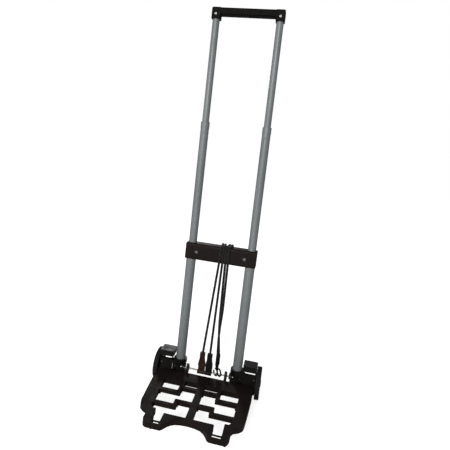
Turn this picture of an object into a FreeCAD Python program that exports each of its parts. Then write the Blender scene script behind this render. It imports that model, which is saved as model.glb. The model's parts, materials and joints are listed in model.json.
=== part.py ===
import FreeCAD, Part
import math
import os

# Folding luggage cart. Units are mm. X is to the cart's right, -Y is forwards, +Z is up, floor at z = 0.
# Everything is modelled with the handle tubes' axes in the plane y = 0 and moved back by TUBE_Y, and up by
# LIFT so that the tyres stand on z = 0, on export.

V = FreeCAD.Vector

# handle tubes
TUBE_X = 75.0
TUBE_Y = 98.75
WALL = 1.1
LOWER_R = 12.2
MIDDLE_R = 10.2
UPPER_R = 8.4
RUN = 0.05
LOWER_BOTTOM = 9.0
LOWER_TOP = 366.0
MIDDLE_BOTTOM = 320.0
MIDDLE_TOP = 667.0
UPPER_BOTTOM = 617.0
UPPER_TOP = 925.0
COLLAR_LENGTH = 15.0
COLLAR_SWELL = 0.5
GUIDE_LENGTH = 12.0
SPIGOT_LENGTH = 15.0
STOP_GAP = 0.5
DIMPLE_R = 2.0
DIMPLE_DROP = 27.0

# crossbar
BAR_HALF = 88.8
BAR_DEPTH = 16.0
BAR_BOTTOM = 326.5
BAR_TOP = 368.0
BAR_ROUND = 5.0
BAR_SKIN = 3.2
BAR_CAVITY_HALF = 55.0
BAR_RIBS = (-36.0, -12.0, 12.0, 36.0)
BAR_RIB_T = 2.4
SEAM_X = 70.0
SEAM_W = 1.0
SEAM_D = 0.7
BAR_RIVET_X = 60.2
BAR_RIVET_Z = 347.0
PEG_X = 12.3
PEG_Z = 346.0
PEG_R = 2.9
PEG_END = 22.0
PEG_HEAD_R = 5.2
PEG_HEAD_T = 1.8

# handle
GRIP_HALF = 85.4
SOCKET_W = 21.0
SOCKET_BOTTOM = 906.0
GRIP_BOTTOM = 914.5
GRIP_TOP = 931.5
GRIP_DEPTH = 11.0
GRIP_RIVET_Z = 916.0
GRIP_RIVET_R = 2.8

# hinge of the foot plate
ROD_R = 1.75
ROD_Y = -18.0
ROD_Z = 43.3
ROD_HALF = 67.5
ROD_CAP_R = 3.6
BRACKET_R = 15.5
CHEEK_R = 20.0
BRACKET_BOTTOM = 27.0
BRACKET_TOP = 48.0
EYE_R = 6.0
EYE_IN = 57.0
EYE_OUT = 66.0
LUG_IN = 46.0
LUG_OUT = 52.5

# foot plate
DECK_TOP = 38.0
DECK_BOTTOM = 25.0
DECK_REAR = -32.0
BAR_LOW = 29.0
HOLE_ROUND = 2.2
CENTRE_HALF = 7.5
PAD_X = 81.0
PAD_Y = -194.0
PAD_R = 3.2
PAD_FLARE = 1.0
PAD_STEM_R = 2.5
PAD_STEM = 8.0

# wheels and their arms
WHEEL_R = 39.75
AXLE_R = 4.0
AXLE_Y = -0.75
AXLE_Z = 32.5
AXLE_END = 135.8
AXLE_HEAD_R = 6.0
AXLE_HEAD_T = 2.0
BOSS_IN = 106.0
WHEEL_IN = 125.4
WHEEL_OUT = 137.2
LIFT = WHEEL_R - AXLE_Z
TYRE_IN_R = 31.0
HUB_HOLE_PITCH = 20.2
HUB_HOLE_R = 3.6
HUB_HOLES = 6
ARM_OUT = 125.0
ARM_RING_R = 17.0
ARM_BOTTOM = 8.0
ARM_TOP = 58.0
SLOT_BOTTOM = 59.5
FLANGE_BOTTOM = 65.0
FLANGE_TOP = 79.5
FLANGE_BACK = 14.0
FLANGE_SKIN = 2.5

# elastic cords
CORD_R = 3.0
CORD_BEND = 7.4
CORD_FACE = 19.25
CORD_OVER = 371.25
LOOP_OUTER = 12.4
LOOP_INNER = 6.0
HOOK_TOP = 92.0
JAW_HALF = 8.7
FERRULE_TOP = 92.0
FERRULE_R = 3.4
RING_R = 8.6
WIRE_R = 2.0
RING_Z = 48.0
PLANE_TURN = 130.0

os.makedirs("parts", exist_ok=True)


def box(x0, x1, y0, y1, z0, z1):
    return Part.makeBox(x1 - x0, y1 - y0, z1 - z0, V(x0, y0, z0))


def rod_x(r, x0, x1, y, z):
    return Part.makeCylinder(r, x1 - x0, V(x0, y, z), V(1, 0, 0))


def rod_y(r, y0, y1, x, z):
    return Part.makeCylinder(r, y1 - y0, V(x, y0, z), V(0, 1, 0))


def rod_z(r, z0, z1, x, y):
    return Part.makeCylinder(r, z1 - z0, V(x, y, z0), V(0, 0, 1))


def pipe_z(outer, inner, z0, z1, x, y=0.0):
    return rod_z(outer, z0, z1, x, y).cut(rod_z(inner, z0 - 1, z1 + 1, x, y))


def prism_z(points, z0, z1):
    corners = [V(x, y, z0) for x, y in points]
    face = Part.Face(Part.makePolygon(corners + [corners[0]]))
    return face.extrude(V(0, 0, z1 - z0))


def prism_x(points, x0, x1):
    corners = [V(x0, y, z) for y, z in points]
    face = Part.Face(Part.makePolygon(corners + [corners[0]]))
    return face.extrude(V(x1 - x0, 0, 0))


def prism_y(points, y0, y1):
    corners = [V(x, y0, z) for x, z in points]
    face = Part.Face(Part.makePolygon(corners + [corners[0]]))
    return face.extrude(V(0, y1 - y0, 0))


def revolve_x(points, y, z):
    corners = [V(x, y, z + r) for x, r in points]
    face = Part.Face(Part.makePolygon(corners + [corners[0]]))
    return face.revolve(V(0, y, z), V(1, 0, 0), 360)


def join(shapes):
    whole = shapes[0]
    for shape in shapes[1:]:
        whole = whole.fuse(shape)
    return whole.removeSplitter()


def mirrored(shape):
    return shape.mirror(V(0, 0, 0), V(1, 0, 0))


def edges_along(shape, direction, keep):
    found = []
    for edge in shape.Edges:
        if edge.Curve.TypeId != "Part::GeomLine":
            continue
        tangent = edge.tangentAt(edge.FirstParameter)
        if abs(abs(tangent.dot(direction)) - 1.0) < 1e-6 and keep(edge.CenterOfMass):
            found.append(edge)
    return found


def save(shape, name):
    moved = shape.copy()
    moved.translate(V(0, TUBE_Y, LIFT))
    if len(moved.Solids) == 1:
        moved = moved.Solids[0]
    if not moved.isValid() or moved.Volume <= 0:
        print("bad shape", name, moved.isValid(), moved.Volume)
    moved.exportStep("parts/" + name + ".step")
    size = moved.BoundBox
    print("%-20s solids %d volume %.0f z %.1f to %.1f" % (name, len(moved.Solids), moved.Volume,
                                                         size.ZMin, size.ZMax))


def save_pair(shape, name):
    save(shape, name + "_right")
    save(mirrored(shape), name + "_left")


def save_both(shape, name):
    save(Part.makeCompound([shape, mirrored(shape)]), name)


# ---- telescoping tubes -------------------------------------------------------------------------

lower_bore = LOWER_R - WALL
middle_bore = MIDDLE_R - WALL
upper_bore = UPPER_R - WALL

save_pair(pipe_z(LOWER_R, lower_bore, LOWER_BOTTOM, LOWER_TOP, TUBE_X), "lower_tube")

collar_low = MIDDLE_TOP - COLLAR_LENGTH
middle = pipe_z(MIDDLE_R, middle_bore, MIDDLE_BOTTOM, MIDDLE_TOP, TUBE_X)
collar = pipe_z(MIDDLE_R + COLLAR_SWELL, MIDDLE_R - 0.01, collar_low, MIDDLE_TOP, TUBE_X)
middle = join([middle, collar])
dimple = rod_y(DIMPLE_R, -MIDDLE_R - 1, 0, TUBE_X, MIDDLE_TOP - DIMPLE_DROP)
middle = middle.cut(dimple)
save_pair(middle, "middle_tube")

upper = pipe_z(UPPER_R, upper_bore, UPPER_BOTTOM, UPPER_TOP, TUBE_X)
upper = upper.cut(rod_y(2.0, -20, 20, TUBE_X, GRIP_RIVET_Z))
save_pair(upper, "upper_tube")

lower_bushing = pipe_z(lower_bore, MIDDLE_R + RUN, MIDDLE_BOTTOM + STOP_GAP, LOWER_TOP, TUBE_X)
save_both(lower_bushing, "lower_bushings")
middle_bushing = pipe_z(middle_bore, UPPER_R + RUN, UPPER_BOTTOM + STOP_GAP, MIDDLE_TOP, TUBE_X)
dimple_room = rod_y(DIMPLE_R + 0.5, -middle_bore - 1, 0, TUBE_X, MIDDLE_TOP - DIMPLE_DROP)
middle_bushing = middle_bushing.cut(dimple_room)
save_both(middle_bushing, "middle_bushings")


def guide_plug(outer, spigot, bore, end):
    head = rod_z(outer, end - GUIDE_LENGTH, end, TUBE_X, 0)
    stem = rod_z(spigot, end, end + SPIGOT_LENGTH, TUBE_X, 0)
    hole = rod_z(bore, end - GUIDE_LENGTH - 1, end + SPIGOT_LENGTH + 1, TUBE_X, 0)
    return join([head, stem]).cut(hole)


save_both(guide_plug(lower_bore - RUN, middle_bore, middle_bore - 2.0, MIDDLE_BOTTOM), "middle_guides")
save_both(guide_plug(middle_bore - RUN, upper_bore, upper_bore - 2.0, UPPER_BOTTOM), "upper_guides")

end_flange = rod_z(ARM_RING_R, 4.5, ARM_BOTTOM - 0.3, TUBE_X, 0)
end_stem = rod_z(lower_bore, ARM_BOTTOM - 0.3, 22.0, TUBE_X, 0)
end_land = rod_z(LOWER_R, ARM_BOTTOM - 0.3, LOWER_BOTTOM, TUBE_X, 0)
end_cap = join([end_flange, end_stem, end_land])
save_both(end_cap, "tube_end_caps")

# ---- crossbar -------------------------------------------------------------------------------------

x_axis = V(1, 0, 0)
bar = box(-BAR_HALF, BAR_HALF, -BAR_DEPTH, BAR_DEPTH, BAR_BOTTOM, BAR_TOP)
bar = bar.makeFillet(BAR_ROUND, edges_along(bar, x_axis, lambda c: True))
bar = bar.makeFillet(2.5, edges_along(bar, V(0, 0, 1), lambda c: True))
for side in (-1, 1):
    bar = bar.cut(rod_z(LOWER_R, BAR_BOTTOM - 1, LOWER_TOP, side * TUBE_X, 0))
    bar = bar.cut(rod_z(MIDDLE_R + 0.5, LOWER_TOP - 1, BAR_TOP + 1, side * TUBE_X, 0))
    seam = box(side * SEAM_X - SEAM_W / 2, side * SEAM_X + SEAM_W / 2, -BAR_DEPTH - 1, BAR_DEPTH + 1,
               BAR_BOTTOM - 1, BAR_TOP + 1)
    seam = seam.cut(box(-BAR_HALF, BAR_HALF, -BAR_DEPTH + SEAM_D, BAR_DEPTH - SEAM_D,
                        BAR_BOTTOM + SEAM_D, BAR_TOP - SEAM_D))
    bar = bar.cut(seam)
cavity = box(-BAR_CAVITY_HALF, BAR_CAVITY_HALF, -BAR_DEPTH + BAR_SKIN, BAR_DEPTH - BAR_SKIN,
             BAR_BOTTOM + BAR_SKIN, BAR_TOP - BAR_SKIN)
for rib in BAR_RIBS:
    cavity = cavity.cut(box(rib - BAR_RIB_T / 2, rib + BAR_RIB_T / 2, -BAR_DEPTH, BAR_DEPTH,
                            BAR_BOTTOM, BAR_TOP))
bar = bar.cut(cavity)
shanks = []
for side in (-1, 1):
    shank = rod_y(2.0, -BAR_DEPTH, BAR_DEPTH, side * BAR_RIVET_X, BAR_RIVET_Z)
    bar = bar.cut(shank)
    front_head = rod_y(3.6, -BAR_DEPTH - 0.9, -BAR_DEPTH, side * BAR_RIVET_X, BAR_RIVET_Z)
    rear_head = rod_y(3.6, BAR_DEPTH, BAR_DEPTH + 0.9, side * BAR_RIVET_X, BAR_RIVET_Z)
    shanks.append(join([shank, front_head, rear_head]))
save(Part.makeCompound(shanks), "crossbar_rivets")
front_half = bar.common(box(-100, 100, -30, 0, 300, 400))
rear_half = bar.common(box(-100, 100, 0, 30, 300, 400))
peg = rod_y(PEG_R, BAR_DEPTH - 0.5, PEG_END, PEG_X, PEG_Z)
peg_head = rod_y(PEG_HEAD_R, PEG_END, PEG_END + PEG_HEAD_T, PEG_X, PEG_Z)
rear_half = join([rear_half, peg, peg_head])
save(front_half, "crossbar_front")
save(rear_half, "crossbar_rear")

# ---- handle -----------------------------------------------------------------------------------------

socket_in = GRIP_HALF - SOCKET_W
grip_bar = box(-socket_in - 2, socket_in + 2, -GRIP_DEPTH, GRIP_DEPTH, GRIP_BOTTOM, GRIP_TOP)
grip_bar = grip_bar.makeFillet(5.0, edges_along(grip_bar, x_axis, lambda c: True))
socket = box(socket_in, GRIP_HALF, -GRIP_DEPTH, GRIP_DEPTH, SOCKET_BOTTOM, GRIP_TOP)
outer_top = edges_along(socket, V(0, 1, 0), lambda c: c.z > GRIP_TOP - 1 and c.x > TUBE_X)
socket = socket.makeFillet(3.5, outer_top)
socket = socket.makeFillet(2.0, edges_along(socket, V(0, 0, 1), lambda c: True))
grip = join([grip_bar, socket, mirrored(socket)])
grip_rivets = []
for side in (-1, 1):
    grip = grip.cut(rod_z(UPPER_R, SOCKET_BOTTOM - 1, UPPER_TOP, side * TUBE_X, 0))
    shank = rod_y(2.0, -GRIP_DEPTH, GRIP_DEPTH, side * TUBE_X, GRIP_RIVET_Z)
    grip = grip.cut(shank)
    heads = [rod_y(GRIP_RIVET_R, -GRIP_DEPTH - 1.0, -GRIP_DEPTH, side * TUBE_X, GRIP_RIVET_Z)]
    heads.append(rod_y(GRIP_RIVET_R, GRIP_DEPTH, GRIP_DEPTH + 1.0, side * TUBE_X, GRIP_RIVET_Z))
    grip_rivets.append(join([shank] + heads))
save(grip, "handle_grip")
save(Part.makeCompound(grip_rivets), "handle_rivets")

# ---- hinge brackets and rod -------------------------------------------------------------------------

ring = rod_z(BRACKET_R, BRACKET_BOTTOM, BRACKET_TOP, TUBE_X, 0)
# the block behind the eye stops level with the bracket, because the arm's ring turns just above it
eye_block = box(EYE_IN, EYE_OUT, ROD_Y, -6.0, ROD_Z - EYE_R, BRACKET_TOP)
eye = rod_x(EYE_R, EYE_IN, EYE_OUT, ROD_Y, ROD_Z)
screw_x = TUBE_X + 10.5
screw_z = 40.0
screw_pad = box(screw_x - 3.2, screw_x + 3.2, -14.0, -4.0, screw_z - 4.5, screw_z + 4.5)
cheek = rod_z(CHEEK_R, BRACKET_BOTTOM, BRACKET_TOP, TUBE_X, 0)
cheek = cheek.common(box(TUBE_X + 4, TUBE_X + CHEEK_R, -12.0, 12.0, BRACKET_BOTTOM, BRACKET_TOP))
bracket = join([ring, cheek, eye_block, eye, screw_pad])
bracket = bracket.cut(rod_z(LOWER_R, 0, 100, TUBE_X, 0))
bracket = bracket.cut(rod_x(ROD_R, EYE_IN - 1, EYE_OUT + 1, ROD_Y, ROD_Z))
screw_hole = rod_y(1.2, -14.0, -9.5, screw_x, screw_z)
bracket = bracket.cut(screw_hole)
save_pair(bracket, "hinge_bracket")
screw_head = rod_y(2.4, -15.4, -14.0, screw_x, screw_z)
save_both(join([screw_hole, screw_head]), "bracket_screws")

save(rod_x(ROD_R, -ROD_HALF, ROD_HALF, ROD_Y, ROD_Z), "hinge_rod")
rod_cap = rod_x(ROD_CAP_R, EYE_OUT, ROD_HALF + 1.0, ROD_Y, ROD_Z)
rod_cap = rod_cap.cut(rod_x(ROD_R, EYE_OUT - 1, ROD_HALF, ROD_Y, ROD_Z))
save_both(rod_cap, "rod_caps")

# ---- foot plate ---------------------------------------------------------------------------------------

half_outline = [(0, -206.3), (16, -207.6), (28, -211.0), (36, -217.0), (42, -225.0), (46.5, -233.0),
                (51, -236.5), (82.5, -236.5), (88.5, -232.5), (91.5, -225.0), (91.5, -204.0), (95.5, -196.5),
                (106, -190.5), (113.5, -182.5), (116, -172.0), (118.8, -132.0), (122, -75.0),
                (122, -50.0), (114, DECK_REAR)]
outline = half_outline + [(-x, y) for x, y in reversed(half_outline) if x > 0]
plate = prism_z(outline, DECK_BOTTOM, DECK_TOP)
slit = [(CENTRE_HALF, -67.5), (41, -67.5), (41, -89), (CENTRE_HALF, -89)]
pocket = [(50, -73.5), (92.5, -73.5), (92, -110), (50, -110)]
second_row = [(CENTRE_HALF, -98), (41, -98), (41, -119), (91.6, -119), (90.6, -160.6), (45.7, -160.6),
              (45.7, -142.7), (CENTRE_HALF, -142.7)]
third_row = [(CENTRE_HALF, -151.7), (36.7, -151.7), (36.7, -169.6), (90.3, -169.6), (90, -178), (84, -188),
             (75.3, -188), (75.3, -226), (54.7, -226), (54.7, -198), (CENTRE_HALF, -198)]
cut_low = DECK_BOTTOM - 1
cut_high = DECK_TOP + 1
cuts = []
for corners in (slit, pocket, second_row, third_row):
    hole = prism_z(corners, cut_low, cut_high)
    cuts.append(hole.makeFillet(HOLE_ROUND, edges_along(hole, V(0, 0, 1), lambda c: True)))
cuts.append(box(55.5, 74.5, -234.3, -228.5, cut_low, cut_high))
cuts.append(box(54.7, 75.3, -229.5, -224.0, cut_low, DECK_TOP - 2.6))
for x0, x1, y0, y1 in ((CENTRE_HALF + 3, 41.5, -98.5, -88.5), (41, 50, -119.5, -76), (49, 88, -119.5, -109.5),
                       (CENTRE_HALF + 3, 40, -152, -142), (36.7, 45.7, -170, -142.2),
                       (45, 87, -170, -160)):
    cuts.append(box(x0, x1, y0, y1, cut_low, BAR_LOW))
for piece in cuts:
    plate = plate.cut(piece).cut(mirrored(piece))

# the rear beam is a channel, open below, with stiffening ribs
channel = box(-108.0, 108.0, -62.5, DECK_REAR - 3.0, cut_low, DECK_TOP - 3.2)
for index in range(7):
    rib_x = -90.0 + 30.0 * index
    channel = channel.cut(box(rib_x - 1.2, rib_x + 1.2, -70, -30, cut_low, DECK_TOP))
plate = plate.cut(channel)
groove_low = DECK_BOTTOM - 1
for side in (-1, 1):
    for index in range(5):
        low = -92.0 - 18.0 * index
        rail = box(98.0, 113.0, low - 15.0, low, groove_low, DECK_TOP - 3.2)
        if side < 0:
            rail = mirrored(rail)
        plate = plate.cut(rail)

lug_profile = [(DECK_REAR - 2, DECK_BOTTOM + 2), (DECK_REAR - 2, DECK_TOP), (-27.0, 41.0), (-24.5, 47.0),
               (-22.5, 52.5), (-21.0, 55.5), (-19.0, 56.0), (-18.2, 53.0), (-16.0, 49.2), (-13.0, 46.5),
               (-12.2, 43.0), (-13.2, 39.5), (-16.0, 37.6), (-19.5, 36.8), (-23.5, 33.5), (-28.0, 28.5)]
lug = prism_x(lug_profile, LUG_IN, LUG_OUT)
lug = lug.cut(rod_x(ROD_R + RUN, LUG_IN - 1, LUG_OUT + 1, ROD_Y, ROD_Z))
plate = plate.fuse(lug).fuse(mirrored(lug)).removeSplitter()
pad_seat = rod_z(PAD_STEM_R, DECK_BOTTOM - 1, DECK_BOTTOM + PAD_STEM, PAD_X, PAD_Y)
plate = plate.cut(pad_seat).cut(mirrored(pad_seat))
save(plate, "foot_plate")

pad_stem = rod_z(PAD_STEM_R, DECK_BOTTOM, DECK_BOTTOM + PAD_STEM, PAD_X, PAD_Y)
pad_post = Part.makeCone(PAD_R, PAD_R + PAD_FLARE, DECK_BOTTOM + LIFT, V(PAD_X, PAD_Y, -LIFT), V(0, 0, 1))
save_both(join([pad_post, pad_stem]), "foot_pads")

# ---- wheel arms ---------------------------------------------------------------------------------------

wall_in = TUBE_X + 17.2
ring_high = rod_z(ARM_RING_R, BRACKET_TOP + 0.5, ARM_TOP, TUBE_X, 0)
ring_low = rod_z(ARM_RING_R, ARM_BOTTOM, BRACKET_BOTTOM - 0.5, TUBE_X, 0)
neck_high = box(TUBE_X + 4, wall_in + 4, -20, -8, BRACKET_TOP + 0.5, ARM_TOP)
neck_low = box(TUBE_X + 4, wall_in + 4, -20, -8, ARM_BOTTOM, BRACKET_BOTTOM - 0.5)
front_wall = box(wall_in, ARM_OUT, -20, -15, ARM_BOTTOM, FLANGE_TOP)
flange = box(wall_in - 2, ARM_OUT, -20, FLANGE_BACK, FLANGE_BOTTOM, FLANGE_TOP)
flange = flange.makeFillet(2.5, edges_along(flange, x_axis, lambda c: c.z > FLANGE_BOTTOM + 1))
flange_hollow = box(wall_in, ARM_OUT - FLANGE_SKIN, -16.5, FLANGE_BACK - FLANGE_SKIN,
                    FLANGE_BOTTOM - 1, FLANGE_TOP - FLANGE_SKIN)
flange = flange.cut(flange_hollow)
side_web = prism_x([(-17, 9), (-17, 78), (12, 78), (11, 62), (13, 40), (13, 30), (8, 24), (-4, 12)],
                   ARM_OUT - 3.2, ARM_OUT)
axle_boss = rod_x(9.0, BOSS_IN, ARM_OUT, AXLE_Y, AXLE_Z)
boss_rib = box(BOSS_IN, ARM_OUT, -16.0, AXLE_Y, AXLE_Z - 1.5, AXLE_Z + 1.5)
ribs = [boss_rib]
for rib_x in (94.5, 104.0):
    ribs.append(prism_x([(-16, 10), (-16, 56), (-9, 46), (-9, 20)], rib_x, rib_x + 2.2))
arm = join([ring_high, ring_low, neck_high, neck_low, front_wall, flange, side_web, axle_boss] + ribs)
arm = arm.cut(rod_z(LOWER_R + RUN, 0, 100, TUBE_X, 0))
arm = arm.cut(box(wall_in - 1.5, ARM_OUT - 2.0, -21, -14, SLOT_BOTTOM, FLANGE_BOTTOM))
arm = arm.cut(rod_x(AXLE_R, 100, 130, AXLE_Y, AXLE_Z))
arm_screw_x = 119.5
arm_screw_z = 48.0
arm_hole = rod_y(1.2, -20, -15.5, arm_screw_x, arm_screw_z)
arm = arm.cut(arm_hole)
save_pair(arm, "wheel_arm")
save_pair(join([arm_hole, rod_y(2.2, -21.2, -20, arm_screw_x, arm_screw_z)]), "arm_screw")

axle = rod_x(AXLE_R, BOSS_IN, AXLE_END, AXLE_Y, AXLE_Z)
axle_head = rod_x(AXLE_HEAD_R, BOSS_IN - AXLE_HEAD_T, BOSS_IN, AXLE_Y, AXLE_Z)
save_pair(join([axle, axle_head]), "axle")
push_nut = rod_x(7.5, 134.5, 135.6, AXLE_Y, AXLE_Z).cut(rod_x(AXLE_R, 130, 140, AXLE_Y, AXLE_Z))
save_pair(push_nut, "push_nut")

# ---- wheels -------------------------------------------------------------------------------------------

shoulder = WHEEL_R - 2.5
tread = [(WHEEL_IN, TYRE_IN_R), (WHEEL_IN, shoulder + 1.2), (WHEEL_IN + 1.6, WHEEL_R)]
for groove in (129.2, 132.4):
    tread += [(groove, WHEEL_R), (groove + 0.3, WHEEL_R - 1.2), (groove + 1.1, WHEEL_R - 1.2),
              (groove + 1.4, WHEEL_R)]
tread += [(WHEEL_OUT - 2.6, WHEEL_R), (WHEEL_OUT - 1.0, WHEEL_R - 0.8), (WHEEL_OUT, shoulder),
          (WHEEL_OUT, TYRE_IN_R)]
save_pair(revolve_x(tread, AXLE_Y, AXLE_Z), "tyre")

bore = AXLE_R + RUN
hub_profile = [(ARM_OUT + 0.4, bore), (ARM_OUT + 0.4, 11.5), (129.0, 12.5), (129.0, TYRE_IN_R - 3.5),
               (126.2, TYRE_IN_R - 2.9), (126.2, TYRE_IN_R), (136.4, TYRE_IN_R), (136.4, TYRE_IN_R - 2.9),
               (132.4, TYRE_IN_R - 3.5), (132.4, 13.0),
               (137.0, 12.0), (137.0, 9.5), (134.2, 9.5), (134.2, bore)]
hub = revolve_x(hub_profile, AXLE_Y, AXLE_Z)
for index in range(HUB_HOLES):
    turn = math.radians(360 / HUB_HOLES * (index + 0.5))
    hole_y = AXLE_Y + HUB_HOLE_PITCH * math.cos(turn)
    hole_z = AXLE_Z + HUB_HOLE_PITCH * math.sin(turn)
    hub = hub.cut(rod_x(HUB_HOLE_R, 120, 140, hole_y, hole_z))
save_pair(hub, "wheel_hub")
cap_profile = [(136.0, 0), (136.0, 9.5), (137.0, 9.5), (137.9, 7.5), (138.3, 4.0), (138.3, 0)]
save_pair(revolve_x(cap_profile, AXLE_Y, AXLE_Z), "hub_cap")

# ---- elastic cords and hooks --------------------------------------------------------------------------


def rounded_path(points, radii):
    edges = []
    start = points[0]
    for index in range(1, len(points) - 1):
        before = (points[index] - points[index - 1]).normalize()
        after = (points[index + 1] - points[index]).normalize()
        turn = before.getAngle(after)
        reach = radii[index - 1] * math.tan(turn / 2)
        arc_start = points[index] - before * reach
        arc_end = points[index] + after * reach
        inward = (after - before).normalize()
        sag = radii[index - 1] * (1 / math.cos(turn / 2) - 1)
        edges.append(Part.LineSegment(start, arc_start).toShape())
        edges.append(Part.Arc(arc_start, points[index] + inward * sag, arc_end).toShape())
        start = arc_end
    edges.append(Part.LineSegment(start, points[-1]).toShape())
    return Part.Wire(edges)


def cord(points, radii, name):
    path = rounded_path([V(*p) for p in points], radii)
    heading = V(*points[1]) - V(*points[0])
    ring_wire = Part.Wire([Part.Circle(V(*points[0]), heading, CORD_R).toShape()])
    maker = Part.BRepOffsetAPI.MakePipeShell(path)
    maker.add(ring_wire)
    maker.setFrenetMode(True)
    maker.build()
    maker.makeSolid()
    solid = maker.shape()
    expected = math.pi * CORD_R ** 2 * path.Length
    print("%s length %.1f radii %s volume ratio %.4f" % (name, path.Length, radii, solid.Volume / expected))
    save(solid, name)


# the routes turn each edge of the crossbar, and each quarter of a loop around the peg, in two corners
chamfer = 4.5
edge_high = CORD_OVER - chamfer
edge_deep = CORD_FACE - chamfer
octagon = math.tan(math.radians(22.5))
peg_side = PEG_Z - octagon * LOOP_OUTER
cord_a = [(-15.2, -18.0, HOOK_TOP - 4), (2.4, -CORD_FACE, edge_high), (2.4, -edge_deep, CORD_OVER),
          (0.0, edge_deep, CORD_OVER), (PEG_X - LOOP_OUTER, CORD_FACE, edge_high),
          (PEG_X - LOOP_OUTER, CORD_FACE, peg_side),
          (PEG_X - octagon * LOOP_OUTER, CORD_FACE, PEG_Z - LOOP_OUTER),
          (PEG_X + octagon * LOOP_OUTER, CORD_FACE, PEG_Z - LOOP_OUTER),
          (PEG_X + LOOP_OUTER, CORD_FACE, peg_side), (PEG_X + LOOP_OUTER, CORD_FACE, edge_high),
          (24.4, edge_deep, CORD_OVER), (21.9, -edge_deep, CORD_OVER), (21.7, -CORD_FACE, edge_high),
          (23.0, -19.4, 205.0), (19.5, -19.4, 146.0), (22.9, -18.6, FERRULE_TOP - 4)]
peg_side = PEG_Z - octagon * LOOP_INNER
cord_b = [(3.7, -18.0, HOOK_TOP - 4), (8.8, -CORD_FACE, edge_high), (8.8, -edge_deep, CORD_OVER),
          (6.5, edge_deep, CORD_OVER), (PEG_X - LOOP_INNER, CORD_FACE, edge_high),
          (PEG_X - LOOP_INNER, CORD_FACE, peg_side),
          (PEG_X - octagon * LOOP_INNER, CORD_FACE, PEG_Z - LOOP_INNER),
          (PEG_X + octagon * LOOP_INNER, CORD_FACE, PEG_Z - LOOP_INNER),
          (PEG_X + LOOP_INNER, CORD_FACE, peg_side), (PEG_X + LOOP_INNER, CORD_FACE, edge_high),
          (18.0, edge_deep, CORD_OVER), (15.4, -edge_deep, CORD_OVER), (15.2, -CORD_FACE, edge_high),
          (15.3, -CORD_FACE, 333.0), (16.9, -16.0, 205.0), (18.5, -12.6, 146.0),
          (26.0, -11.5, FERRULE_TOP - 4)]
edge_bends = [CORD_BEND] * 4
loop_fit = 0.98
slack_bend = 200.0
cord(cord_a, edge_bends + [loop_fit * LOOP_OUTER] * 4 + edge_bends + [slack_bend] * 2, "bungee_cord_a")
cord(cord_b, edge_bends + [loop_fit * LOOP_INNER] * 4 + edge_bends + [slack_bend] * 3, "bungee_cord_b")


def flat_hook(x):
    low = x - JAW_HALF
    high = x + JAW_HALF
    outline = [(x - 6.5, HOOK_TOP), (x - 6.5, 76.0), (low, 63.0), (low, 58.0),
               (high, 58.0), (high, 63.0), (x + 6.5, 76.0), (x + 6.5, HOOK_TOP)]
    body = prism_y(outline, -21.5, -13.0)
    body = body.makeFillet(1.5, edges_along(body, V(0, 0, 1), lambda c: c.z > 64.0))
    back = box(low, high, -15.3, -10.0, ROD_Z, 64.0)
    jaw = rod_x(8.0, low, high, ROD_Y, ROD_Z).cut(rod_x(2.7, low - 1, high + 1, ROD_Y, ROD_Z))
    jaw = jaw.cut(box(low - 1, high + 1, -30, -15.3, ROD_Z + 3.0, ROD_Z + 20))
    jaw = jaw.cut(box(low - 1, high + 1, ROD_Y - 2.7, ROD_Y + 2.7, ROD_Z, ROD_Z + 20))
    return join([body, back, jaw])


save(flat_hook(-15.2), "flat_hook_a")
save(flat_hook(3.7), "flat_hook_b")


def ring_hook(offset, shank_low, sweep_from, sweep):
    wire = Part.Wire([Part.Circle(V(RING_R, 0, 0), V(0, 0, 1), WIRE_R).toShape()])
    loop = Part.Face(wire).revolve(V(0, 0, 0), V(0, 1, 0), sweep)
    loop.rotate(V(0, 0, 0), V(0, 1, 0), sweep_from)
    shank = rod_z(WIRE_R, shank_low, FERRULE_TOP - 24 - RING_Z, offset, 0)
    ferrule = rod_z(FERRULE_R, FERRULE_TOP - 26 - RING_Z, FERRULE_TOP - RING_Z, offset, 0)
    return join([loop, shank, ferrule])


def place_ring_hook(shape, x, y):
    placed = shape.copy()
    placed.rotate(V(0, 0, 0), V(0, 0, 1), PLANE_TURN)
    placed.translate(V(x, y, RING_Z))
    return placed


turn = math.radians(PLANE_TURN)
offset_a = (-18.6 - ROD_Y) / math.sin(turn)
offset_b = (-11.5 - ROD_Y) / math.sin(turn)
hook_a = ring_hook(offset_a, 7.6, -75.0, -285.0)
hook_b = ring_hook(offset_b, -0.5, 0.0, 290.0)
save(place_ring_hook(hook_a, 22.9 - offset_a * math.cos(turn), ROD_Y), "ring_hook_a")
save(place_ring_hook(hook_b, 26.0 - offset_b * math.cos(turn), ROD_Y), "ring_hook_b")
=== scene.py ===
import json
import math

import bpy
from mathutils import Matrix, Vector


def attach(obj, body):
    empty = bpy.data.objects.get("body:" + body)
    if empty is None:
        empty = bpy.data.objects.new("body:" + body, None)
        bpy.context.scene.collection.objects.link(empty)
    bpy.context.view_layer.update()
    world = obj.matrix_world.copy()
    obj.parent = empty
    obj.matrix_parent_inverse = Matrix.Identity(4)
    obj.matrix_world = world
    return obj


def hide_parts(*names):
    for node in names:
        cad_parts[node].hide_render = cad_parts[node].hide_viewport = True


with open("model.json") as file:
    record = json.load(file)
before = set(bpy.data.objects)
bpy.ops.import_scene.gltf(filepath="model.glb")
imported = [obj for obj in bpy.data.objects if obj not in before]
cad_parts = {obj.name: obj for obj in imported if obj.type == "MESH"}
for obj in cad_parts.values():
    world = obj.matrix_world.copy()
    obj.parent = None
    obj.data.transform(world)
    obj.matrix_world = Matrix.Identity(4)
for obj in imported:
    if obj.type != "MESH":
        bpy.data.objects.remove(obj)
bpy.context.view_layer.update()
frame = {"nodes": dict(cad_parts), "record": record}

# the part's source lays its routes out in mm, with the handle tubes at y = 0, and then moves everything
# back by TUBE_Y and up by LIFT
TUBE_Y = 0.09875
LIFT = 0.00725
MM = 0.001

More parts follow.
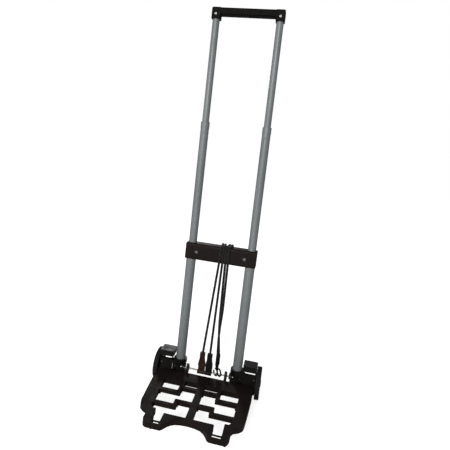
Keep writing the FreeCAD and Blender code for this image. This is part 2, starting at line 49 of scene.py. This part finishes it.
CAMERA_PLACE = (0.137457, -0.852768, 0.599076)
CAMERA_TURN = (83.0992, -6.2106, 11.1977)
CAMERA_LENS = 31.5035
CAMERA_SENSOR = 36.0
CAMERA_SHIFT = (0.02925, -0.05226)

CORD_DIAMETER = 0.006

# how strongly the floor and the sky shine: to the camera, which sees them nearly white, and on the rest
FLOOR_SEEN = 0.80
FLOOR_SHINE = 0.0
SKY_SEEN = 1.0
SKY_SHINE = 0.26
FLOOR_HALF = 12.0

# name, place, target, side in metres, watts
LIGHTS = [("key", (-0.45, -2.7, 1.35), (0, 0, 0.5), 0.6, 66),
          ("left_fill", (-2.4, -1.2, 1.3), (0, 0, 0.4), 1.2, 7),
          ("hood_gloss", (-0.66, 2.3, 1.3), (-0.1, 0.1, 0.08), 0.25, 7)]


# ---------------------------------------------------------------- camera
def make_camera():
    data = bpy.data.cameras.new("camera")
    data.sensor_width = CAMERA_SENSOR
    data.lens = CAMERA_LENS
    data.shift_x, data.shift_y = CAMERA_SHIFT
    data.clip_start = 0.02
    data.clip_end = 40.0
    camera = bpy.data.objects.new("camera", data)
    camera.location = CAMERA_PLACE
    camera.rotation_euler = [math.radians(angle) for angle in CAMERA_TURN]
    bpy.context.scene.collection.objects.link(camera)
    bpy.context.scene.camera = camera


# ---------------------------------------------------------------- node helpers
class Nodes:
    """A small wrapper that builds one node material."""

    def __init__(self, name):
        self.material = bpy.data.materials.new(name)
        self.material.use_nodes = True
        self.tree = self.material.node_tree
        self.shader = self.tree.nodes["Principled BSDF"]
        self.coords = self.tree.nodes.new("ShaderNodeTexCoord").outputs["Object"]

    def link(self, source, target):
        self.tree.links.new(source, target)

    def mapping(self, scale):
        node = self.tree.nodes.new("ShaderNodeMapping")
        node.inputs["Scale"].default_value = scale
        self.link(self.coords, node.inputs["Vector"])
        return node.outputs["Vector"]

    def noise(self, scale, detail=4.0, rough=0.55, stretch=(1, 1, 1)):
        node = self.tree.nodes.new("ShaderNodeTexNoise")
        node.inputs["Scale"].default_value = scale
        node.inputs["Detail"].default_value = detail
        node.inputs["Roughness"].default_value = rough
        self.link(self.mapping(stretch), node.inputs["Vector"])
        return node.outputs["Fac"]

    def voronoi(self, scale):
        node = self.tree.nodes.new("ShaderNodeTexVoronoi")
        node.inputs["Scale"].default_value = scale
        self.link(self.mapping((1, 1, 1)), node.inputs["Vector"])
        return node.outputs["Distance"]

    def wave(self, scale, direction, distortion=0.0, stretch=(1, 1, 1)):
        node = self.tree.nodes.new("ShaderNodeTexWave")
        node.wave_type = "BANDS"
        node.bands_direction = direction
        node.inputs["Scale"].default_value = scale
        node.inputs["Distortion"].default_value = distortion
        self.link(self.mapping(stretch), node.inputs["Vector"])
        return node.outputs["Fac"]

    def ramp(self, factor, stops):
        node = self.tree.nodes.new("ShaderNodeValToRGB")
        elements = node.color_ramp.elements
        while len(elements) < len(stops):
            elements.new(0.5)
        for element, (place, colour) in zip(elements, stops):
            element.position = place
            element.color = (*colour, 1.0)
        self.link(factor, node.inputs["Fac"])
        return node.outputs["Color"]

    def spread(self, factor, low, high, start=0.0, end=1.0):
        node = self.tree.nodes.new("ShaderNodeMapRange")
        node.inputs["From Min"].default_value = start
        node.inputs["From Max"].default_value = end
        node.inputs["To Min"].default_value = low
        node.inputs["To Max"].default_value = high
        self.link(factor, node.inputs["Value"])
        return node.outputs["Result"]

    def math(self, operation, a, b):
        node = self.tree.nodes.new("ShaderNodeMath")
        node.operation = operation
        for value, socket in ((a, node.inputs[0]), (b, node.inputs[1])):
            if isinstance(value, (int, float)):
                socket.default_value = value
            else:
                self.link(value, socket)
        return node.outputs["Value"]

    def mix(self, factor, a, b):
        node = self.tree.nodes.new("ShaderNodeMix")
        node.data_type = "RGBA"
        self.link(factor, node.inputs["Factor"])
        # a Mix node keeps one A, one B and one Result for each data type, and the colour ones are these
        for value, socket in ((a, node.inputs[6]), (b, node.inputs[7])):
            if isinstance(value, tuple):
                socket.default_value = (*value, 1.0)
            else:
                self.link(value, socket)
        return node.outputs[2]

    def edges(self, radius, amount=1.0):
        """1 on worn edges, 0 elsewhere."""
        bevel = self.tree.nodes.new("ShaderNodeBevel")
        bevel.samples = 4
        bevel.inputs["Radius"].default_value = radius
        geometry = self.tree.nodes.new("ShaderNodeNewGeometry")
        dot = self.tree.nodes.new("ShaderNodeVectorMath")
        dot.operation = "DOT_PRODUCT"
        self.link(bevel.outputs["Normal"], dot.inputs[0])
        self.link(geometry.outputs["Normal"], dot.inputs[1])
        return self.spread(dot.outputs["Value"], amount, 0.0, 0.80, 0.985)

    def bump(self, heights):
        """heights is a list of (height, strength, distance), the first lowest in the chain."""
        normal = None
        for height, strength, distance in heights:
            node = self.tree.nodes.new("ShaderNodeBump")
            node.inputs["Strength"].default_value = strength
            node.inputs["Distance"].default_value = distance
            self.link(height, node.inputs["Height"])
            if normal is not None:
                self.link(normal, node.inputs["Normal"])
            normal = node.outputs["Normal"]
        self.link(normal, self.shader.inputs["Normal"])


def moulded_plastic(name, dark, light, worn, rough, grain, specular=0.12, wear=0.5):
    """Injection-moulded plastic: flow-mottled colour, a spark-eroded grain and rubbed edges."""
    n = Nodes(name)
    cloudy = n.noise(22.0, 5.0, 0.6)
    fine = n.noise(900.0, 3.0, 0.5)
    base = n.ramp(cloudy, [(0.32, dark), (0.68, light)])
    rubbed = n.math("MULTIPLY", n.edges(0.0009, wear), n.spread(n.noise(140.0), 0.0, 1.0, 0.38, 0.62))
    n.link(n.mix(rubbed, base, worn), n.shader.inputs["Base Color"])
    n.link(n.spread(n.noise(60.0, 6.0), rough - 0.07, rough + 0.1, 0.3, 0.7), n.shader.inputs["Roughness"])
    n.shader.inputs["Specular IOR Level"].default_value = specular
    n.bump([(cloudy, 0.10, 0.0006), (n.voronoi(1500.0), grain, 0.00012), (fine, grain, 0.00010)])
    return n.material


def painted_tube(name):
    """Grey powder paint on a drawn tube: faint orange peel, long rub marks and small chips."""
    n = Nodes(name)
    cloudy = n.noise(14.0, 4.0, 0.55, (1, 1, 0.35))
    base = n.ramp(cloudy, [(0.30, (0.150, 0.163, 0.166)), (0.70, (0.192, 0.206, 0.210))])
    streaks = n.noise(210.0, 3.0, 0.5, (1, 1, 0.025))
    marks = n.spread(streaks, 0.0, 0.55, 0.60, 0.74)
    rubbed = n.mix(marks, base, (0.27, 0.28, 0.285))
    chips = n.spread(n.noise(330.0, 2.0), 0.0, 1.0, 0.735, 0.76)
    n.link(n.mix(chips, rubbed, (0.08, 0.08, 0.08)), n.shader.inputs["Base Color"])
    n.link(n.spread(n.noise(48.0, 5.0, 0.6, (1, 1, 0.3)), 0.40, 0.52, 0.3, 0.7), n.shader.inputs["Roughness"])
    n.shader.inputs["Metallic"].default_value = 0.15
    n.shader.inputs["Specular IOR Level"].default_value = 0.34
    n.bump([(n.noise(420.0, 2.0), 0.16, 0.00012), (streaks, 0.10, 0.00010)])
    return n.material


def bare_steel(name, dark, light, rough, stretch=(1, 1, 1)):
    """Plain or plated steel with fine turning lines and a few dull spots."""
    n = Nodes(name)
    spots = n.noise(120.0, 5.0, 0.6)
    n.link(n.ramp(spots, [(0.35, dark), (0.65, light)]), n.shader.inputs["Base Color"])
    lines = n.noise(900.0, 2.0, 0.5, stretch)
    n.link(n.spread(spots, rough - 0.08, rough + 0.12, 0.3, 0.7), n.shader.inputs["Roughness"])
    n.shader.inputs["Metallic"].default_value = 1.0
    n.bump([(lines, 0.15, 0.00008)])
    return n.material


def tyre_rubber(name):
    n = Nodes(name)
    cloudy = n.noise(40.0, 5.0, 0.6)
    dusty = n.spread(n.noise(90.0, 4.0), 0.0, 0.6, 0.52, 0.70)
    base = n.ramp(cloudy, [(0.3, (0.0075, 0.0072, 0.0068)), (0.7, (0.013, 0.0125, 0.012))])
    n.link(n.mix(dusty, base, (0.026, 0.024, 0.021)), n.shader.inputs["Base Color"])
    n.link(n.spread(cloudy, 0.62, 0.85, 0.3, 0.7), n.shader.inputs["Roughness"])
    n.shader.inputs["Specular IOR Level"].default_value = 0.18
    n.bump([(n.noise(260.0, 3.0), 0.25, 0.0002), (n.voronoi(1200.0), 0.3, 0.00012)])
    return n.material


def braided_sleeve(name):
    """Black braided textile over a rubber core: two crossing sets of strands and a slight sheen."""
    n = Nodes(name)
    one = n.wave(260.0, "DIAGONAL", 0.6)
    two = n.wave(260.0, "DIAGONAL", 0.6, (-1, 1, 1))
    weave = n.math("MAXIMUM", one, two)
    flecks = n.spread(n.noise(700.0, 2.0), 0.0, 0.55, 0.60, 0.72)
    base = n.ramp(weave, [(0.25, (0.0035, 0.0032, 0.0030)), (0.85, (0.0125, 0.0115, 0.0105))])
    n.link(n.mix(flecks, base, (0.045, 0.04, 0.035)), n.shader.inputs["Base Color"])
    n.shader.inputs["Roughness"].default_value = 0.82
    n.shader.inputs["Specular IOR Level"].default_value = 0.12
    n.shader.inputs["Sheen Weight"].default_value = 0.12
    n.bump([(weave, 0.7, 0.0004), (n.noise(1500.0, 2.0), 0.3, 0.0001)])
    return n.material


def make_materials():
    black = {"dark": (0.0030, 0.0027, 0.0024), "light": (0.0062, 0.0056, 0.0050),
             "worn": (0.022, 0.020, 0.018)}
    return {
        "tube_paint": painted_tube("grey_tube_paint"),
        "grip_plastic": moulded_plastic("grip_black", **black, rough=0.62, grain=0.25, specular=0.06),
        "bar_plastic": moulded_plastic("crossbar_brown_black", (0.0055, 0.0032, 0.0025),
                                       (0.0100, 0.0056, 0.0044), (0.030, 0.020, 0.016), rough=0.52,
                                       grain=0.25),
        "plate_plastic": moulded_plastic("plate_brown_black", (0.0055, 0.0033, 0.0026),
                                         (0.0110, 0.0062, 0.0052), (0.034, 0.022, 0.018), rough=0.55,
                                         grain=0.30),
        "arm_plastic": moulded_plastic("arm_black", **black, rough=0.40, grain=0.22, specular=0.22),
        "hub_plastic": moulded_plastic("hub_black", **black, rough=0.48, grain=0.22),
        "inner_plastic": moulded_plastic("bushing_black", **black, rough=0.55, grain=0.18),
        "hook_brown": moulded_plastic("hook_red_brown", (0.0160, 0.0068, 0.0045), (0.0300, 0.0120, 0.0080),
                                      (0.070, 0.035, 0.025), rough=0.40, grain=0.18, specular=0.3),
        "hook_black": moulded_plastic("hook_coated_black", **black, rough=0.42, grain=0.12, specular=0.2),
        "pad_rubber": tyre_rubber("pad_rubber"),
        "tyre_rubber": tyre_rubber("tyre_rubber"),
        "bright_rivet": bare_steel("bright_rivet", (0.13, 0.13, 0.125), (0.21, 0.21, 0.205), 0.46),
        "dull_steel": bare_steel("dull_zinc", (0.10, 0.095, 0.085), (0.19, 0.18, 0.165), 0.42),
        "rod_steel": bare_steel("drawn_steel", (0.16, 0.16, 0.155), (0.30, 0.30, 0.29), 0.36, (0.05, 1, 1)),
        "cord_sleeve": braided_sleeve("cord_sleeve"),
    }


def dress_cad_nodes(materials):
    slots = {row["node"]: row["material_slot"] for row in frame["record"]["subparts"]}
    for name, node in frame["nodes"].items():
        node.data.materials.clear()
        node.data.materials.append(materials[slots[name]])


# ---------------------------------------------------------------- cords
def route_points(rows):
    return [Vector((x * MM, y * MM + TUBE_Y, z * MM + LIFT)) for x, y, z in rows]


# the routes of part.py, in mm, with two more points on each of the three long straight runs
CORD_A = [(-15.2, -18.0, 88.0), (-13.0, -18.16, 124.0), (0.15, -19.09, 330.0), (2.4, -19.25, 366.75),
          (2.4, -14.75, 371.25), (0.0, 14.75, 371.25), (-0.1, 19.25, 366.75), (-0.1, 19.25, 340.86),
          (7.16, 19.25, 333.6), (17.44, 19.25, 333.6), (24.7, 19.25, 340.86), (24.7, 19.25, 366.75),
          (24.4, 14.75, 371.25), (21.9, -14.75, 371.25), (21.7, -19.25, 366.75), (22.0, -19.28, 330.75),
          (22.7, -19.36, 241.0), (23.0, -19.4, 205.0), (19.5, -19.4, 146.0), (22.9, -18.6, 88.0)]
CORD_B = [(3.7, -18.0, 88.0), (4.36, -18.16, 124.0), (8.13, -19.09, 330.0), (8.8, -19.25, 366.75),
          (8.8, -14.75, 371.25), (6.5, 14.75, 371.25), (6.3, 19.25, 366.75), (6.3, 19.25, 343.51),
          (9.81, 19.25, 340.0), (14.79, 19.25, 340.0), (18.3, 19.25, 343.51), (18.3, 19.25, 366.75),
          (18.0, 14.75, 371.25), (15.4, -14.75, 371.25), (15.2, -19.25, 366.75), (15.3, -19.25, 333.0),
          (16.9, -16.0, 205.0), (18.5, -12.6, 146.0), (26.0, -11.5, 88.0)]


def make_cord(node, rows, material):
    name = node + "_sleeved"
    data = bpy.data.curves.new(name, "CURVE")
    data.dimensions = "3D"
    spline = data.splines.new("NURBS")
    points = route_points(rows)
    spline.points.add(len(points) - 1)
    for slot, point in zip(spline.points, points):
        slot.co = (*point, 1.0)
    spline.order_u = 3
    spline.use_endpoint_u = True
    spline.resolution_u = 10
    data.bevel_depth = CORD_DIAMETER / 2
    data.bevel_resolution = 4
    data.use_fill_caps = True
    data.materials.append(material)
    cord = bpy.data.objects.new(name, data)
    bpy.context.scene.collection.objects.link(cord)
    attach(cord, "frame")
    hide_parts(node)


# ---------------------------------------------------------------- light and floor
def camera_sees(tree, seen, otherwise):
    """A number that is seen by the camera and otherwise for every other ray."""
    path = tree.nodes.new("ShaderNodeLightPath")
    spread = tree.nodes.new("ShaderNodeMapRange")
    spread.inputs["To Min"].default_value = otherwise
    spread.inputs["To Max"].default_value = seen
    tree.links.new(path.outputs["Is Camera Ray"], spread.inputs["Value"])
    return spread.outputs["Result"]


def make_stage():
    n = Nodes("floor_pale")
    n.link(n.ramp(n.noise(3.0, 2.0), [(0.3, (0.80, 0.80, 0.80)), (0.7, (0.82, 0.82, 0.82))]),
           n.shader.inputs["Base Color"])
    n.shader.inputs["Roughness"].default_value = 0.9
    n.shader.inputs["Specular IOR Level"].default_value = 0.0
    n.shader.inputs["Emission Color"].default_value = (1, 1, 1, 1)
    n.link(camera_sees(n.tree, FLOOR_SEEN, FLOOR_SHINE), n.shader.inputs["Emission Strength"])
    mesh = bpy.data.meshes.new("floor")
    corners = [(x * FLOOR_HALF, y * FLOOR_HALF, 0) for x, y in ((-1, -1), (1, -1), (1, 1), (-1, 1))]
    mesh.from_pydata(corners, [], [(0, 1, 2, 3)])
    mesh.materials.append(n.material)
    floor = bpy.data.objects.new("floor", mesh)
    bpy.context.scene.collection.objects.link(floor)


def area_light(name, place, target, size, power):
    data = bpy.data.lights.new(name, "AREA")
    data.shape = "SQUARE"
    data.size = size
    data.energy = power
    light = bpy.data.objects.new(name, data)
    light.location = place
    light.rotation_euler = (Vector(target) - Vector(place)).to_track_quat("-Z", "Y").to_euler()
    bpy.context.scene.collection.objects.link(light)


def make_lights():
    world = bpy.data.worlds.new("studio")
    world.use_nodes = True
    background = world.node_tree.nodes["Background"]
    background.inputs["Color"].default_value = (1, 1, 1, 1)
    strength = camera_sees(world.node_tree, SKY_SEEN, SKY_SHINE)
    world.node_tree.links.new(strength, background.inputs["Strength"])
    bpy.context.scene.world = world
    for row in LIGHTS:
        area_light(*row)
    bpy.context.scene.view_settings.view_transform = "Standard"


make_camera()
materials = make_materials()
dress_cad_nodes(materials)
sleeve = materials["cord_sleeve"]
make_cord("bungee_cord_a", CORD_A, sleeve)
make_cord("bungee_cord_b", CORD_B, sleeve)
make_stage()
make_lights()
